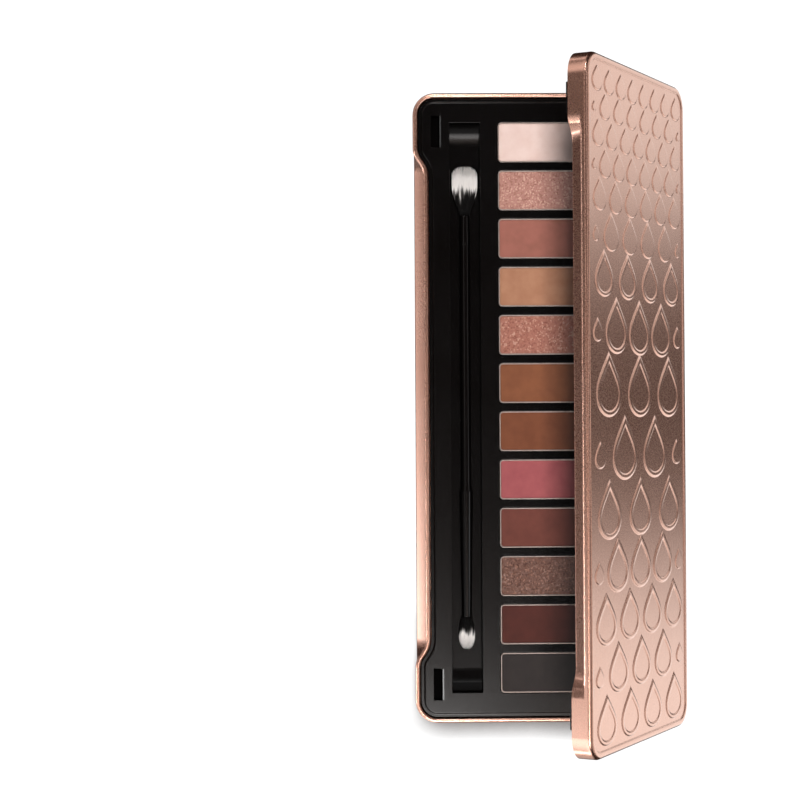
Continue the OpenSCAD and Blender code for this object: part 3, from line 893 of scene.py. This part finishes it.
def band(tree, value, half, soft):
    """1 where the value is within half of zero, falling softly to 0 outside."""
    size = node(tree, "ShaderNodeMath", {0: value}, operation="ABSOLUTE").outputs[0]
    return node(tree, "ShaderNodeMapRange", {
        "Value": size, "From Min": half + soft, "From Max": half - soft},
        interpolation_type="SMOOTHSTEP").outputs["Result"]


def along(tree, direction, axis, offset=0.0):
    """How far a direction runs along an axis, less an offset."""
    reach = node(tree, "ShaderNodeVectorMath", {0: direction, 1: axis},
                 operation="DOT_PRODUCT").outputs["Value"]
    return node(tree, "ShaderNodeMath", {0: reach, 1: offset}, operation="SUBTRACT").outputs[0]


def add_world(room, panels):
    """Dim studio room with soft panels."""
    world = bpy.data.worlds.new("studio")
    bpy.context.scene.world = world
    world.use_nodes = True
    world.cycles_visibility.diffuse = False
    tree = world.node_tree
    direction = node(tree, "ShaderNodeTexCoord").outputs["Generated"]
    light = srgb(room)[:3]
    for middle, tilt, width, height, soft, colour, strength in panels:
        turn = Matrix.Rotation(math.radians(tilt), 3, "X")
        across = turn @ Vector((0, 0, 1))
        towards = turn @ Vector((0, 1, 0))
        in_front = along(tree, direction, towards)
        ahead = node(tree, "ShaderNodeMapRange", {"Value": in_front, "From Max": 0.1})
        sideways = along(tree, direction, Vector((1, 0, 0)), middle)
        share = node(tree, "ShaderNodeMath", {
            0: band(tree, sideways, width, soft),
            1: band(tree, along(tree, direction, across), height, soft)}, operation="MULTIPLY")
        seen = node(tree, "ShaderNodeMath", {0: share.outputs[0], 1: ahead.outputs["Result"]},
                    operation="MULTIPLY")
        glow = node(tree, "ShaderNodeVectorMath", {
            0: [c * strength for c in srgb(colour)[:3]], "Scale": seen.outputs[0]},
            operation="SCALE")
        light = node(tree, "ShaderNodeVectorMath", {0: light, 1: glow.outputs[0]},
                     operation="ADD").outputs[0]
    tree.links.new(light, tree.nodes["Background"].inputs["Color"])


def area_light(name, at, size, power, on_gloss):
    """Soft rectangular light, aimed at the case, that shows on glossy surfaces only or on matte
    ones only."""
    bpy.ops.object.light_add(type="AREA", location=Vector(at))
    light = bpy.context.object
    light.name = name
    light.data.shape = "RECTANGLE"
    light.data.size, light.data.size_y = size
    light.data.energy = power
    light.rotation_euler = (Vector((0, 0, 0)) - Vector(at)).to_track_quat("-Z", "Y").to_euler()
    light.visible_camera = False
    light.visible_glossy = on_gloss
    light.visible_diffuse = not on_gloss


def add_floor():
    """Plain pale floor that glows evenly, with a soft contact shadow painted into its glow round the +X
    end of the case only.
    """
    floor = start("floor", bpy.ops.mesh.primitive_plane_add, size=8)
    bpy.ops.mesh.subdivide(number_cuts=4)
    bpy.ops.object.mode_set(mode="OBJECT")
    finish, tree, shader, where = new_finish("floor_paper", {
        "Roughness": 0.8, "Specular IOR Level": 0.0, "Emission Strength": 0.88})
    paper = grain(tree, where, 300, 3)
    tree.links.new(tones(tree, paper, [(0.3, "#7f7f7f"), (0.7, "#838383")]),
                   shader.inputs["Base Color"])
    # painted shadow: an occlusion test leaning towards -X dims the glow beside the case, and a mask
    # along X keeps it to the +X end
    leaning = node(tree, "ShaderNodeVectorMath", {
        0: node(tree, "ShaderNodeNewGeometry").outputs["Normal"], 1: (-3.8, -0.7, 0)},
        operation="ADD")
    near = node(tree, "ShaderNodeAmbientOcclusion", {
        "Distance": 9 * MM,
        "Normal": node(tree, "ShaderNodeVectorMath", {0: leaning.outputs[0]},
                       operation="NORMALIZE").outputs[0]})
    length = node(tree, "ShaderNodeSeparateXYZ", {"Vector": where}).outputs["X"]
    ends = spread(tree, length, 1, 0, 0.06, 0.095)
    shadow = node(tree, "ShaderNodeMath", {0: near.outputs["AO"], 1: ends}, operation="MAXIMUM")
    tree.links.new(tones(tree, shadow.outputs[0], [(0.45, "#595959"), (0.93, "#ffffff")]),
                   shader.inputs["Emission Color"])
    floor.data.materials.append(finish)
    floor.visible_glossy = False
    floor.visible_diffuse = False
    floor.visible_shadow = False


# ---------------------------------------------------------------- putting it together
GOLD = rose_gold("rose_gold_satin", "#e3b09b", "#dca791", rough=0.26)
BLACK = black_plastic("satin_black", "#070606", "#040303", rough=0.18, depth=0.002 * MM,
                      shine=0.27, shaded_floor_shine=0.15)
LACQUER = black_plastic("gloss_black", "#060505", "#040303", rough=0.14, depth=0.002 * MM,
                        shine=0.4)
TIN = plain_metal("pan_tin", "#a3948c", "#8a7b74", rough=0.4, stretch=(1, 1, 0.05), metallic=0.5)
STEEL = plain_metal("hinge_steel", "#cfc9c4", "#a39b95", rough=0.3, stretch=(0.05, 1, 1),
                    metallic=1.0)
SILVER = silver_mirror()
FOAM = adhesive_foam()

# Shade of each powder: record's slot, colour, deeper colour and, for a shimmer, its painted glint
# colour.
SHADES = [
    ("powder_pale_cream_pink", "#d1b8af", "#c7a99f", None),
    ("powder_rose_bronze_shimmer", "#a17266", "#895a4e", "#b99181"),
    ("powder_dusty_rose", "#8c5549", "#7c4b3e", None),
    ("powder_soft_tan", "#9b6d53", "#8c5e45", None),
    ("powder_rose_shimmer", "#905b4c", "#784537", "#a77c6b"),
    ("powder_ochre_brown", "#754429", "#663820", None),
    ("powder_warm_brown", "#693921", "#5c2f18", None),
    ("powder_mid_pink", "#91494a", "#843e42", None),
    ("powder_brick_brown", "#603026", "#52271e", None),
    ("powder_taupe_shimmer", "#563427", "#412419", "#6f4a3a"),
    ("powder_dark_maroon", "#451b13", "#39140c", None),
    ("powder_charcoal", "#261f1d", "#1e1817", None),
]

# Soft panels of the studio: middle along X, tilt in degrees from +Y up over the top, half-width,
# half-height, softness, colour and strength.
PANELS = [
    (-0.25, -41, 0.15, 0.38, 0.05, "#fffdf9", 1.05),
    (0.24, -41, 0.16, 0.38, 0.05, "#fffdf9", 1.25),
    (0.0, 3, 0.60, 0.22, 0.12, "#fffaf6", 0.84),
    (0.0, 52, 0.60, 0.10, 0.05, "#fbfdff", 1.20),
    (0.36, 85, 0.20, 0.30, 0.10, "#ffe9dd", 2.30),
    (0.60, 142, 0.44, 0.20, 0.04, "#fbfdff", 2.40),
    (-0.62, 142, 0.28, 0.18, 0.10, "#fff8f4", 1.10),
    (-0.50, 203, 0.60, 0.10, 0.03, "#fff6f2", 1.20),
    (0.52, 203, 0.46, 0.10, 0.05, "#fbfdff", 4.60),
    (0.15, 168, 0.06, 0.05, 0.03, "#ffffff", 36.0),
    (-0.15, 168, 0.05, 0.05, 0.03, "#ffffff", 6.0),
    (0.0, 118, 0.60, 0.04, 0.02, "#fffaf6", 1.70),
    (0.55, 250, 0.45, 0.30, 0.12, "#fff6f0", 0.60),
]

finish_piece(base_shell(), GOLD, "case", "rose_gold_lacquer", "base_tray")
finish_piece(lid_shell(), GOLD, "lid", "rose_gold_lacquer", "lid_shell")
finish_piece(lid_lining(), BLACK, "lid", "satin_black", "lid_lining")
finish_piece(mirror_glass(), SILVER, "lid", "mirror", "mirror_glass")
finish_piece(insert_tray(), BLACK, "case", "satin_black", "insert_tray")

first_pan, first_powder = pan(1), powder(1)
for number, (slot, colour, deep, painted_glint) in enumerate(SHADES, 1):
    tag = "_%02d" % number
    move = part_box("pan" + tag)[0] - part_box("pan_01")[0]
    tin = copy_of(first_pan, "tin" + tag, move)
    finish_piece(tin, TIN, "case", "pan_tin", "pan" + tag)
    cake = copy_of(first_powder, "cake" + tag, move)
    finish = shimmer_powder(slot, colour, deep, painted_glint) if painted_glint else matte_powder(slot, colour, deep)
    finish_piece(cake, finish, "case", slot, "powder" + tag)
bpy.data.objects.remove(first_pan)
bpy.data.objects.remove(first_powder)

finish_piece(brush_handle(), LACQUER, "brush", "gloss_black", "brush_handle")
large_ferrule = ferrule("large_ferrule", "brush_ferrule_large", from_r=1.55 * MM, to_r=1.75 * MM)
finish_piece(large_ferrule, LACQUER, "brush", "gloss_black", "brush_ferrule_large")
small_ferrule = ferrule("small_ferrule", "brush_ferrule_small", from_r=2.15 * MM, to_r=1.55 * MM)
finish_piece(small_ferrule, LACQUER, "brush", "gloss_black", "brush_ferrule_small")

large_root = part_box("brush_ferrule_large")[0].x
large_tuft = tuft("large_tuft", "brush_tuft_large", way=-1, count=900, fullness=fluffy,
                  blunt=0.14, seed=3)
large_hair = hair("hair_large", large_root, large_root - 15.9 * MM)
finish_piece(large_tuft, large_hair, "brush", "brush_hair", "brush_tuft_large")

small_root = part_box("brush_ferrule_small")[1].x
small_tuft = tuft("small_tuft", "brush_tuft_small", way=1, count=500, fullness=pointed,
                  blunt=0.26, seed=5)
small_hair = hair("hair_small", small_root, small_root + 10.4 * MM)
finish_piece(small_tuft, small_hair, "brush", "brush_hair", "brush_tuft_small")

for name, finish in (("base_hinge_leaves", GOLD), ("lid_hinge_leaves", GOLD),
                     ("hinge_pin_left", STEEL), ("hinge_pin_right", STEEL),
                     ("mirror_adhesive", FOAM)):
    carried = frame["nodes"][name]
    carried.data.materials.clear()
    carried.data.materials.append(finish)

add_camera()
add_floor()
add_world("#2e1f19", PANELS)
area_light("overhead", at=(0, -0.016, 1.0), size=(0.7, 0.14), power=13.9, on_gloss=False)
area_light("over_the_near_end", at=(-0.80, -0.047, 0.90), size=(0.14, 0.6), power=3.0, on_gloss=True)
area_light("over_the_far_end", at=(0.55, -0.047, 0.95), size=(0.14, 0.6), power=4.8, on_gloss=True)
bpy.context.scene.view_settings.view_transform = "Standard"
